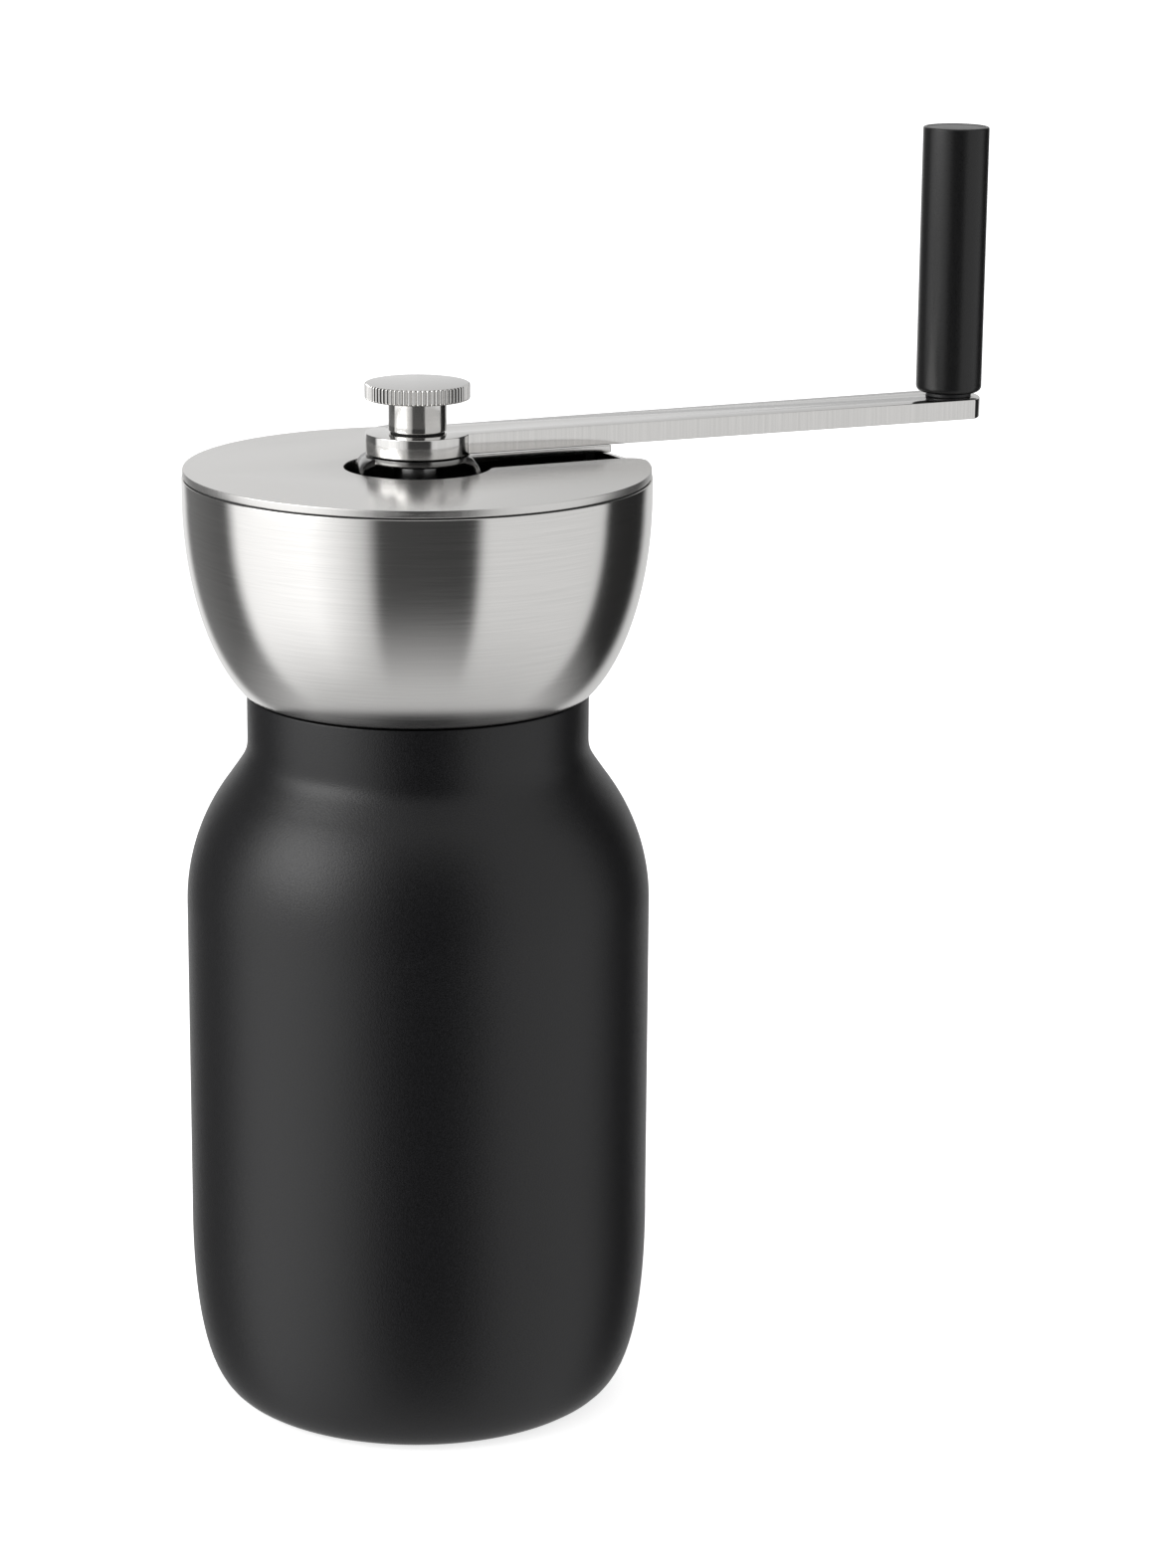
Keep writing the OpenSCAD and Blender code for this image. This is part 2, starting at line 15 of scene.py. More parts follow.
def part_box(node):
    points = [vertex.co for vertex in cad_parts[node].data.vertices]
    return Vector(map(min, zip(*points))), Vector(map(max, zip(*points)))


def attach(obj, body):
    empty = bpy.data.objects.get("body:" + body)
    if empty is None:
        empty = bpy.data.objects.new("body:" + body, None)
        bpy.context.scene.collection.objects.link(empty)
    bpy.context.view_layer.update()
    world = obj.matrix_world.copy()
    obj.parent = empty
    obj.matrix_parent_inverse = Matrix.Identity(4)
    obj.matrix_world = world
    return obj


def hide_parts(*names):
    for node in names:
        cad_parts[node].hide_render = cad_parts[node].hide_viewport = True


bl_info = {
    "name": "Hand crank coffee grinder",
    "version": (1, 0, 0),
    "blender": (4, 5, 0),
    "location": "View3D > Sidebar > Grinder",
    "description": "Builds the grinder's visible pieces, finishes and studio",
    "category": "Object",
}

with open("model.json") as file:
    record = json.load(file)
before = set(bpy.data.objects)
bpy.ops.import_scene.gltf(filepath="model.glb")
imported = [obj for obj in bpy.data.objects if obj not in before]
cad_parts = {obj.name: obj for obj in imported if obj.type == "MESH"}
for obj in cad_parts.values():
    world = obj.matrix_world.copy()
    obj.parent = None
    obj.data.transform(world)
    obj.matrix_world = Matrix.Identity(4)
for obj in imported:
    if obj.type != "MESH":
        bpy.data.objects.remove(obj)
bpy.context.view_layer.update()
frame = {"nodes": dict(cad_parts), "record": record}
NODES = frame["nodes"]
BODY_OF = {n: b for b, ns in frame["record"]["behaviour"]["bodies"].items() for n in ns}
SLOT_OF = {s["node"]: s["material_slot"] for s in frame["record"]["subparts"]}
MM = 0.001


# ---------------------------------------------------------------- sizes read from the frame


def low(node):
    """A node's lowest corner."""
    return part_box(node)[0]


def high(node):
    """A node's highest corner."""
    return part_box(node)[1]


def middle(node):
    return (low(node) + high(node)) / 2


def half_width(node):
    """Half the node's size across Y, which is its radius when it is round."""
    return (high(node).y - low(node).y) / 2


def bore(node, centre):
    """Smallest distance of the node's points from the upright axis through centre."""
    return min((v.co.xy - centre.xy).length for v in NODES[node].data.vertices)


def reach(node, centre):
    """Largest distance of the node's points from the upright axis through centre."""
    return max((v.co.xy - centre.xy).length for v in NODES[node].data.vertices)


AXIS = Vector((0, 0, 0))
GRIP_AXIS = Vector((middle("grip_sleeve").x, 0, 0))


# ---------------------------------------------------------------- what a user would change


def size(name, text, value, unit="LENGTH"):
    return bpy.props.FloatProperty(
        name=name, description=text, default=value, unit=unit, precision=5
    )


def share(name, text, value, top=1.0):
    return bpy.props.FloatProperty(name=name, description=text, default=value, min=0.0, max=top)


def colour(name, text, value):
    return bpy.props.FloatVectorProperty(
        name=name, description=text, default=value, size=3, subtype="COLOR", min=0.0, max=1.0
    )


class GrinderSizes(bpy.types.PropertyGroup):
    """Sizes that the frame's boxes don't give."""

    neck_radius: size("Neck radius", "Radius of the jar's neck", 34 * MM)
    neck_height: size("Neck height", "Height of the neck's straight part", 13.9 * MM)
    shoulder_height: size("Shoulder height", "Height of the jar's shoulder", 28.9 * MM)
    shoulder_curve: size("Shoulder curve", "Depth of the shoulder's full curve", 42.9 * MM)
    taper_height: size("Taper height", "Height over which the jar pulls in", 40.7 * MM)
    base_radius: size("Base radius", "Radius of the jar's flat base", 36.2 * MM)
    jar_wall: size("Jar wall", "Wall of the jar", 1.8 * MM)
    bowl_foot_radius: size("Bowl foot", "Radius of the bowl above the jar", 34.5 * MM)
    bowl_band: size("Bowl band", "Height of the bowl's upright band", 3.6 * MM)
    bowl_wall: size("Bowl wall", "Wall of the bowl", 1.4 * MM)
    edge: size("Edge", "Radius of a sheet metal edge", 0.18 * MM)
    arm_edge: size("Arm edge", "Chamfer of the crank arm's edges", 0.35 * MM)
    knurl: size("Knurl", "Depth of the knob's ridges", 0.45 * MM)
    spring_room: size("Spring room", "How far the spring's end stays clear of the burr", 0.3 * MM)
    knurls: bpy.props.IntProperty(name="Knurls", description="Ridges round the knob", default=68)


class GrinderFinish(bpy.types.PropertyGroup):
    """Colours and gloss of the finishes."""

    steel: colour("Steel", "Colour of the brushed steel", (0.80, 0.79, 0.775))
    jar: colour("Jar", "Colour of the jar's coat", (0.0028, 0.0028, 0.0036))
    grip: colour("Grip", "Colour of the grip", (0.006, 0.006, 0.0063))
    steel_roughness: share("Steel roughness", "Roughness of the brushed steel", 0.18)
    jar_roughness: share("Jar roughness", "Roughness of the jar's coat", 0.36)
    grip_roughness: share("Grip roughness", "Roughness of the grip", 0.3)


class GrinderStudio(bpy.types.PropertyGroup):
    """Camera and light."""

    distance: size("Distance", "Camera's distance from the axis, level", 792.34 * MM)
    lift: size("Lift", "Camera's height over the lid", 144.6 * MM)
    bearing: size(
        "Bearing", "Where the camera stands, turned from -Y", math.radians(22.26), "ROTATION"
    )
    aside: size("Aside", "How far the camera looks to the right of the axis", 0.0426, "ROTATION")
    pitch: size("Pitch", "How far the camera looks down", 0.2579, "ROTATION")
    roll: size("Roll", "How far the camera leans", 0.0083, "ROTATION")
    lens: bpy.props.FloatProperty(
        name="Lens", description="Focal length in millimetres", default=93.91
    )
    sky: share("Sky", "Strength of the studio's light", 1.0, 10.0)
    ceiling: share("Ceiling", "Brightness of the ceiling", 0.72, 2.0)
    softbox_power: bpy.props.FloatProperty(
        name="Softbox power", description="Power in watts", default=5.5
    )
    softbox_width: size("Softbox width", "Width of the softbox", 900 * MM)
    softbox_height: size("Softbox height", "Height of the softbox", 700 * MM)
    softbox_distance: size(
        "Softbox distance", "Distance of the softbox from the origin", 1300 * MM
    )
    softbox_turn: size(
        "Softbox turn", "Where it stands, to the camera's left", math.radians(68), "ROTATION"
    )
    softbox_rise: size(
        "Softbox rise", "How high it stands over the table", math.radians(32), "ROTATION"
    )
    table: share("Table", "Brightness of the table as the steel reflects it", 0.6, 2.0)


# ---------------------------------------------------------------- mesh helpers


def arc(cx, cy, rx, ry, start, stop, steps):
    """Points along part of an ellipse, angles in degrees."""
    turn = [math.radians(start + (stop - start) * i / steps) for i in range(steps + 1)]
    return [(cx + rx * math.cos(a), cy + ry * math.sin(a)) for a in turn]


def curve(p, q, r, s, steps):
    """Points along a cubic curve with end points p, s and control points q, r."""
    out = []
    for i in range(steps + 1):
        t = i / steps
        w = ((1 - t) ** 3, 3 * t * (1 - t) ** 2, 3 * t * t * (1 - t), t**3)
        out.append(tuple(sum(k * v[c] for k, v in zip(w, (p, q, r, s))) for c in (0, 1)))
    return out


def eased(corners, steps=5):
    """An outline with its corners rounded: corners are (x, y, radius)."""
    out = []
    count = len(corners)
    for i, (x, y, radius) in enumerate(corners):
        here = Vector((x, y))
        if radius <= 0:
            out.append((x, y))
            continue
        back = (Vector(corners[i - 1][:2]) - here).normalized()
        on = (Vector(corners[(i + 1) % count][:2]) - here).normalized()
        half = back.angle(on) / 2
        centre = here + (back + on).normalized() * radius / math.sin(half)
        start = here + back * radius / math.tan(half) - centre
        stop = here + on * radius / math.tan(half) - centre
        turn = start.angle_signed(stop)
        for k in range(steps + 1):
            a = -turn * k / steps
            sin, cos = math.sin(a), math.cos(a)
            v = Vector((start.x * cos - start.y * sin, start.x * sin + start.y * cos))
            out.append(tuple(centre + v))
    return out


def finish_mesh(name, bm, material, body, nodes, sharp=40):
    """Turns a bmesh into a piece that rides on body and stands for nodes."""
    mesh = bpy.data.meshes.new(name)
    bm.to_mesh(mesh)
    bm.free()
    mesh.shade_smooth()
    mesh.set_sharp_from_angle(angle=math.radians(sharp))
    piece = bpy.data.objects.new(name, mesh)
    bpy.context.scene.collection.objects.link(piece)
    mesh.materials.append(material)
    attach(piece, body)
    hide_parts(*nodes)
    return piece


def turned(outline, centre=AXIS, segments=192, closed=True):
    """A bmesh of (radius, height) points, spun about the upright axis through centre."""
    bm = bmesh.new()
    verts = [bm.verts.new((centre.x + r, centre.y, z)) for r, z in outline]
    count = len(verts)
    last = count if closed else count - 1
    edges = [bm.edges.new((verts[i], verts[(i + 1) % count])) for i in range(last)]
    bmesh.ops.spin(
        bm, geom=verts + edges, cent=centre, axis=(0, 0, 1), dvec=(0, 0, 0), angle=2 * math.pi,
        steps=segments, use_merge=True, use_normal_flip=False, use_duplicate=False,
    )
    bmesh.ops.remove_doubles(bm, verts=bm.verts, dist=1e-7)
    bmesh.ops.dissolve_degenerate(bm, edges=bm.edges, dist=1e-8)
    bmesh.ops.recalc_face_normals(bm, faces=bm.faces)
    return bm


SHARP = math.radians(25)  # a merged copy's edges over this angle are rounded


def merged_copy(node, edge, segments=2):
    """A bmesh of a CAD node's mesh, merged, with flat areas joined and its sharp edges rounded."""
    bm = bmesh.new()
    bm.from_mesh(NODES[node].data)
    bmesh.ops.remove_doubles(bm, verts=bm.verts, dist=2e-6)
    bmesh.ops.dissolve_limit(
        bm, angle_limit=math.radians(0.5), use_dissolve_boundaries=False, verts=bm.verts,
        edges=bm.edges, delimit=set(),
    )
    sharp = [e for e in bm.edges if e.is_manifold and e.calc_face_angle(0) > SHARP]
    if edge > 0 and sharp:
        bmesh.ops.bevel(
            bm, geom=sharp, offset=edge, offset_type="OFFSET", segments=segments, profile=0.5,
            affect="EDGES", material=-1, clamp_overlap=True,
        )
    return bm


# ---------------------------------------------------------------- finishes


def node_tree(name):
    """A new material with its node tree and its shader."""
    material = bpy.data.materials.new(name)
    material.use_nodes = True
    tree = material.node_tree
    shader = tree.nodes["Principled BSDF"]
    return material, tree, shader


def link(tree, out, into):
    tree.links.new(out, into)


def stretched_noise(tree, scale, detail=4.0, rough=0.6, turn=0.0):
    """Noise on object coordinates, turned about Z, then scaled in cycles per metre on each axis."""
    where = tree.nodes.new("ShaderNodeTexCoord")
    rotate = tree.nodes.new("ShaderNodeMapping")
    rotate.inputs["Rotation"].default_value = (0, 0, turn)
    move = tree.nodes.new("ShaderNodeMapping")
    move.inputs["Scale"].default_value = scale
    noise = tree.nodes.new("ShaderNodeTexNoise")
    noise.inputs["Scale"].default_value = 1.0
    noise.inputs["Detail"].default_value = detail
    noise.inputs["Roughness"].default_value = rough
    link(tree, where.outputs["Object"], rotate.inputs["Vector"])
    link(tree, rotate.outputs["Vector"], move.inputs["Vector"])
    link(tree, move.outputs["Vector"], noise.inputs["Vector"])
    return noise.outputs["Fac"]


def spread(tree, value, low_out, high_out, low_in=0.3, high_in=0.7):
    """Maps a noise value to a range of its own."""
    ramp = tree.nodes.new("ShaderNodeMapRange")
    ramp.inputs["From Min"].default_value = low_in
    ramp.inputs["From Max"].default_value = high_in
    ramp.inputs["To Min"].default_value = low_out
    ramp.inputs["To Max"].default_value = high_out
    link(tree, value, ramp.inputs["Value"])
    return ramp.outputs["Result"]


def tint(tree, value, dark, light):
    """Mixes two colours by a value from 0 to 1."""
    mix = tree.nodes.new("ShaderNodeMix")
    mix.data_type = "RGBA"
    mix.inputs["A"].default_value = (*dark, 1)
    mix.inputs["B"].default_value = (*light, 1)
    link(tree, value, mix.inputs["Factor"])
    return mix.outputs["Result"]


def bump(tree, shader, value, depth):
    """Raises the surface by a value from 0 to 1, times depth in metres."""
    node = tree.nodes.new("ShaderNodeBump")
    node.inputs["Strength"].default_value = 1.0
    node.inputs["Distance"].default_value = depth
    link(tree, value, node.inputs["Height"])
    link(tree, node.outputs["Normal"], shader.inputs["Normal"])


def painted_shade_on_top(tree, up, aside):
    """Painted shade: a value for faces that look straight up and another one for all others."""
    surface = tree.nodes.new("ShaderNodeNewGeometry")
    split = tree.nodes.new("ShaderNodeSeparateXYZ")
    link(tree, surface.outputs["True Normal"], split.inputs["Vector"])
    return spread(tree, split.outputs["Z"], aside, up, 0.9, 0.99)


def painted_shade_inside(tree, inward, outward):
    """Painted shade: one value for faces that look at the upright axis, another for all others."""
    surface = tree.nodes.new("ShaderNodeNewGeometry")
    where = tree.nodes.new("ShaderNodeTexCoord")
    flat = tree.nodes.new("ShaderNodeVectorMath")
    flat.operation = "MULTIPLY"
    flat.inputs[1].default_value = (1, 1, 0)
    dot = tree.nodes.new("ShaderNodeVectorMath")
    dot.operation = "DOT_PRODUCT"
    link(tree, where.outputs["Object"], flat.inputs[0])
    link(tree, surface.outputs["True Normal"], dot.inputs[0])
    link(tree, flat.outputs["Vector"], dot.inputs[1])
    return spread(tree, dot.outputs["Value"], inward, outward, -0.5 * MM, 0)


def shaded(tree, shader, tone):
    """Paints shade: darkens the shader's colour by a tone from 0 to 1."""
    colour_in = shader.inputs["Base Color"].links[0].from_socket
    mix = tree.nodes.new("ShaderNodeMix")
    mix.data_type = "RGBA"
    mix.inputs["A"].default_value = (0, 0, 0, 1)
    link(tree, colour_in, mix.inputs["B"])
    link(tree, tone, mix.inputs["Factor"])
    link(tree, mix.outputs["Result"], shader.inputs["Base Color"])


def brushed_steel(
    name, base, roughness, grain, depth, stretch, along=None, top=1.0, inside=1.0, contrast=0.05
):
    """Brushed steel: grain is the noise scale along each axis, and stretch draws out reflections.

    They are drawn out by a straight grain along a direction, or without one by a grain that runs
    round the upright axis. Faces that look up get painted shade, their colour darkened to top, and
    faces that look inwards get painted shade, their colour darkened to inside.
    """
    material, tree, shader = node_tree(name)
    shader.inputs["Metallic"].default_value = 1.0
    shader.inputs["Anisotropic"].default_value = stretch
    shader.inputs["Anisotropic Rotation"].default_value = 0.0 if along else 0.25
    turn = math.atan2(along[0], along[1]) if along and along[1] else 0.0
    fine = stretched_noise(tree, grain, turn=turn)
    dark = [c * (1 - contrast) for c in base]
    link(tree, tint(tree, spread(tree, fine, 0, 1), dark, base), shader.inputs["Base Color"])
    link(tree, spread(tree, fine, roughness * 0.9, roughness * 1.12), shader.inputs["Roughness"])
    bump(tree, shader, fine, depth)
    # painted shade: the colour of faces that look up is darkened
    if top < 1:
        shaded(tree, shader, painted_shade_on_top(tree, top, 1))
    # painted shade: the colour of faces that look inwards is darkened
    if inside < 1:
        shaded(tree, shader, painted_shade_inside(tree, inside, 1))
    if along:
        straight = tree.nodes.new("ShaderNodeCombineXYZ")
        for letter, value in zip("XYZ", along):
            straight.inputs[letter].default_value = value
        carry = tree.nodes.new("ShaderNodeVectorTransform")
        carry.vector_type = "VECTOR"
        carry.convert_from = "OBJECT"
        carry.convert_to = "WORLD"
        link(tree, straight.outputs["Vector"], carry.inputs["Vector"])
        link(tree, carry.outputs["Vector"], shader.inputs["Tangent"])
    else:
        tangent = tree.nodes.new("ShaderNodeTangent")
        tangent.direction_type = "RADIAL"
        tangent.axis = "Z"
        link(tree, tangent.outputs["Tangent"], shader.inputs["Tangent"])
    return material


def plain_metal(name, base, roughness, grain=(900, 900, 900), depth=0.004 * MM):
    """Metal without a brushed grain: a faint noise in colour, roughness and bump."""
    material, tree, shader = node_tree(name)
    shader.inputs["Metallic"].default_value = 1.0
    fine = stretched_noise(tree, grain)
    dark = [c * 0.92 for c in base]
    link(tree, tint(tree, spread(tree, fine, 0, 1), dark, base), shader.inputs["Base Color"])
    link(tree, spread(tree, fine, roughness * 0.8, roughness * 1.25), shader.inputs["Roughness"])
    bump(tree, shader, fine, depth)
    return material


BLACK_GRAIN = (2600, 2600, 2600)  # cycles per metre


def moulded(name, base, roughness, depth=0.012 * MM, mottle=0.25, gloss=0.5):
    """Moulded or coated black: a fine grain in colour, roughness and bump."""
    material, tree, shader = node_tree(name)
    shader.inputs["Specular IOR Level"].default_value = gloss
    fine = stretched_noise(tree, BLACK_GRAIN, detail=3.0, rough=0.7)
    dark = [c * (1 - mottle) for c in base]
    light = [c * (1 + mottle) for c in base]
    link(tree, tint(tree, spread(tree, fine, 0, 1), dark, light), shader.inputs["Base Color"])
    link(tree, spread(tree, fine, roughness * 0.9, roughness * 1.12), shader.inputs["Roughness"])
    bump(tree, shader, fine, depth)
    return material


MATERIALS = {}


class GRINDER_OT_finishes(bpy.types.Operator):
    """Makes every finish and gives one to each CAD node that stays"""

    bl_idname = "grinder.finishes"
    bl_label = "Finishes"

    def execute(self, context):
        f = context.scene.grinder_finish
        steel = list(f.steel)
        rough = f.steel_roughness
        made = {
            "jar_coat": moulded(
                "jar_coat", list(f.jar), f.jar_roughness, depth=0.045 * MM, mottle=0.5),
            # painted shade: the bowl's inner wall is darkened to a quarter
            "brushed_steel": brushed_steel(
                "bowl_brushed_steel", steel, rough, (50, 50, 4500), 0.0005 * MM, 0.8,
                inside=0.25, contrast=0.09),
            # painted shade: the lid's top face is darkened a little
            "lid_steel": brushed_steel(
                "lid_brushed_steel", steel, rough * 1.35, (30, 4000, 30), 0.0003 * MM, 0.8,
                along=(0.38, 0.925, 0), top=0.95),
            # painted shade: the arm's top faces are darkened
            "arm_steel": brushed_steel(
                "arm_brushed_steel", [c * 0.96 for c in steel], 0.11, (2600, 40, 40),
                0.0002 * MM, 0.0, along=(1, 0, 0), top=0.87, contrast=0.1),
            # painted shade: the bearing bridge under the lid is darkened to a third of the steel's
            # colour
            "bridge_steel": plain_metal(
                "bridge_sheet_steel", [c * 0.32 for c in steel], 0.14, depth=0.001 * MM),
            # painted shade: the bearing sleeve under the lid is darkened to a dark grey
            "sleeve_steel": plain_metal(
                "sleeve_painted_shade_steel", [0.22, 0.22, 0.22], 0.2, (100, 100, 4000), 0.001 * MM),
            "polished_steel": plain_metal(
                "polished_steel", steel, 0.12, (100, 100, 4000), 0.0005 * MM),
            # painted shade: the knob's top face is darkened to two thirds
            "knurled_steel": brushed_steel(
                "knob_turned_steel", steel, 0.08, (60, 60, 4000), 0.0001 * MM, 0.2, top=0.66),
            "grip_black": moulded(
                "grip_black", list(f.grip), f.grip_roughness, depth=0.02 * MM, gloss=0.42),
            "black_plastic": moulded("black_plastic", [0.03, 0.03, 0.032], 0.45),
            "rubber_black": moulded("rubber_black", [0.012, 0.012, 0.012], 0.7),
            "burr_steel": plain_metal("burr_steel", [0.42, 0.42, 0.43], 0.4),
            "bush_bronze": plain_metal("bush_bronze", [0.72, 0.52, 0.27], 0.35),
            "bush_plastic": moulded("bush_plastic", [0.55, 0.55, 0.53], 0.5),
            "zinc_steel": plain_metal("zinc_steel", [0.66, 0.66, 0.67], 0.3),
        }
        MATERIALS.update(made)
        for name, obj in NODES.items():
            obj.data.materials.clear()
            obj.data.materials.append(MATERIALS[SLOT_OF[name]])
        return {"FINISHED"}


# ---------------------------------------------------------------- jar and bowl


SHOULDER_LEFT = 0.5 * MM  # how far outside the neck the shoulder's curve would end
BASE_PULL = 1 * MM  # how far past the belly the base's curve is drawn out
BELLY_PULL = 3.5 * MM  # how far below the belly's foot its curve is upright
SHOULDER_STOP = 8  # degrees before the end of the shoulder's curve at which it is left
FILLET_START = 7  # degrees before that end at which the neck's fillet starts
FILLET_WIDTH = 1.1 * MM
FILLET_DIP = 0.1 * MM
FILLET_TOP = 4.5 * MM
RIM_EASE = 0.3 * MM


def jar_side(s, inset, bottom, top, steps):
    """Jar outline from its base to the top of the neck, drawn in by inset."""
    radius = reach("jar_shell", AXIS)
    neck_low = top - s.neck_height
    shoulder_low = neck_low - s.shoulder_height
    bite = 1 - math.sqrt(1 - (s.shoulder_height / s.shoulder_curve) ** 2)
    centre = radius - (radius - s.neck_radius - SHOULDER_LEFT) / bite
    ry = s.shoulder_curve - inset
    stop = math.degrees(math.asin(s.shoulder_height / ry))
    belly = radius - inset
    side = curve(
        (s.base_radius - inset / 2, bottom), (belly + BASE_PULL, bottom),
        (belly, s.taper_height - BELLY_PULL), (belly, s.taper_height), steps)
    side += arc(centre, shoulder_low, belly - centre, ry, 0, stop - SHOULDER_STOP, steps)
    start = stop - FILLET_START
    corner = arc(centre, shoulder_low, belly - centre, ry, start, start, 1)[0]
    neck = s.neck_radius - inset
    side += curve(
        corner, (neck + FILLET_WIDTH, neck_low + FILLET_DIP),
        (neck, neck_low + FILLET_WIDTH), (neck, neck_low + FILLET_TOP), 10)
    return side


class GRINDER_OT_jar(bpy.types.Operator):
    """Spins the jar's shell, with its neck, shoulder and rounded base"""

    bl_idname = "grinder.jar"
    bl_label = "Jar"

    def execute(self, context):
        s = context.scene.grinder_sizes
        bottom, top = low("jar_shell").z, high("jar_shell").z
        pad_r = half_width("jar_foot_pad")
        pad_top = high("jar_foot_pad").z
        outer = jar_side(s, 0, bottom, top, 28)
        inner = jar_side(s, s.jar_wall, pad_top + s.jar_wall, top, 20)
        e = RIM_EASE
        neck_in = s.neck_radius - s.jar_wall
        rim = arc(s.neck_radius - e, top - e, e, e, 0, 90, 4)
        rim += arc(neck_in + e, top - e, e, e, 90, 180, 4)
        outline = [(0, pad_top), (pad_r, pad_top), (pad_r, bottom)] + outer + rim
        outline += inner[::-1] + [(0, pad_top + s.jar_wall)]
        bm = turned(outline, segments=256, closed=False)
        finish_mesh("jar", bm, MATERIALS["jar_coat"], "jar", ["jar_shell"])
        return {"FINISHED"}


BOWL_SHARE = 0.91  # the share of its full curve's height that the bowl's side takes
FOOT_IN = (0.5 * MM, 0.12 * MM)  # how far the foot's eased edge is drawn in, at each point
FOOT_UP = 0.08 * MM


class GRINDER_OT_bowl(bpy.types.Operator):
    """Spins the steel hopper bowl, open at the top and with a hole for the burr housing"""

    bl_idname = "grinder.bowl"
    bl_label = "Hopper bowl"

    def execute(self, context):
        s = context.scene.grinder_sizes
        foot, rim = low("hopper_bowl").z, high("hopper_bowl").z
        radius = reach("hopper_bowl", AXIS)
        hole = bore("hopper_bowl", AXIS)
        full = (rim - s.bowl_band - foot) / BOWL_SHARE
        belly = (radius - s.bowl_foot_radius) / (1 - math.sqrt(1 - BOWL_SHARE**2))
        stop = math.degrees(math.asin(BOWL_SHARE))
        wall = s.bowl_wall
        inner_stop = math.degrees(math.asin((rim - s.bowl_band - foot - wall) / (full - wall)))
        centre, height = radius - belly, rim - s.bowl_band
        outer = arc(centre, height, belly, full, -stop, 0, 40)
        inner = arc(centre, height, belly - wall, full - wall, -inner_stop, 0, 30)
        e = s.edge
        foot_edge = [
            (s.bowl_foot_radius - FOOT_IN[0], foot),
            (s.bowl_foot_radius - FOOT_IN[1], foot + FOOT_UP)]
        lip = arc(radius - e, rim - e, e, e, 0, 90, 4)
        lip += arc(radius - wall + e, rim - e, e, e, 90, 180, 4)
        outline = [(hole, foot + wall), (hole, foot)] + foot_edge + outer[1:] + lip + inner[::-1]
        bm = turned(outline, segments=256)
        steel = MATERIALS["brushed_steel"]
        finish_mesh("bowl", bm, steel, "head", ["hopper_bowl"])
        return {"FINISHED"}


# ---------------------------------------------------------------- lid


class GRINDER_OT_lid(bpy.types.Operator):
    """Copies the lid plate with its round hole and the slot that passes the crank arm, and eases
    its edges
    """

    bl_idname = "grinder.lid"
    bl_label = "Lid"

    def execute(self, context):
        s = context.scene.grinder_sizes
        bm = merged_copy("lid_plate", s.edge, segments=3)
        finish_mesh("lid", bm, MATERIALS["lid_steel"], "lid", ["lid_plate"])
        return {"FINISHED"}


# ---------------------------------------------------------------- crank


class GRINDER_OT_crank_arm(bpy.types.Operator):
    """Makes the flat crank arm with its round hub, and eases its edges"""

    bl_idname = "grinder.crank_arm"
    bl_label = "Crank arm"

    def execute(self, context):
        s = context.scene.grinder_sizes
        bm = merged_copy("crank_arm", s.arm_edge, segments=3)
        steel = MATERIALS["arm_steel"]
        finish_mesh("crank_arm_plate", bm, steel, "crank", ["crank_arm"])
        return {"FINISHED"}


KNOB_NECK = 0.4 * MM  # how much wider the neck is than the washer under it
KNOB_DISC = 3.1 * MM  # height of the ridged disc
KNOB_EASE = 0.35 * MM
RIDGE_INSET = 0.9 * MM  # how far from the disc's faces its outline has its own points
HOLE_ROOM = 0.4 * MM  # room over the shaft's end
PER_RIDGE = 8


class GRINDER_OT_knob(bpy.types.Operator):
    """Spins the clamping knob and presses the ridges round its disc"""

    bl_idname = "grinder.knob"
    bl_label = "Clamping knob"

    def execute(self, context):
        s = context.scene.grinder_sizes
        bottom, top = low("clamping_knob").z, high("clamping_knob").z
        disc_r = reach("clamping_knob", AXIS)
        neck = half_width("lock_washer") + KNOB_NECK
        hole = bore("clamping_knob", AXIS)
        disc_low = top - KNOB_DISC
        hole_top = high("shaft").z + HOLE_ROOM
        outline = eased([
            (neck, bottom, 0.3 * MM), (neck, disc_low, 0.25 * MM), (disc_r, disc_low, KNOB_EASE),
            (disc_r, disc_low + RIDGE_INSET, 0), (disc_r, top - RIDGE_INSET, 0),
            (disc_r, top, KNOB_EASE), (0, top, 0), (0, hole_top, 0), (hole, hole_top, 0),
            (hole, bottom, 0.1 * MM)])
        bm = turned(outline, segments=s.knurls * PER_RIDGE)
        # the ridges leave the flat faces and the neck alone
        step, off_face = disc_r - s.knurl * 1.2, 0.02 * MM
        for v in bm.verts:
            radius = v.co.xy.length
            if radius > step and disc_low + off_face < v.co.z < top - off_face:
                phase = math.atan2(v.co.y, v.co.x) * s.knurls / 2
                v.co.xy *= 1 - s.knurl * (1 - abs(math.cos(phase))) / radius
        steel = MATERIALS["knurled_steel"]
        finish_mesh("knob", bm, steel, "knob", ["clamping_knob"], 50)
        return {"FINISHED"}


CAP_SEAT = 2.4 * MM  # height of the top disc's step over its underside


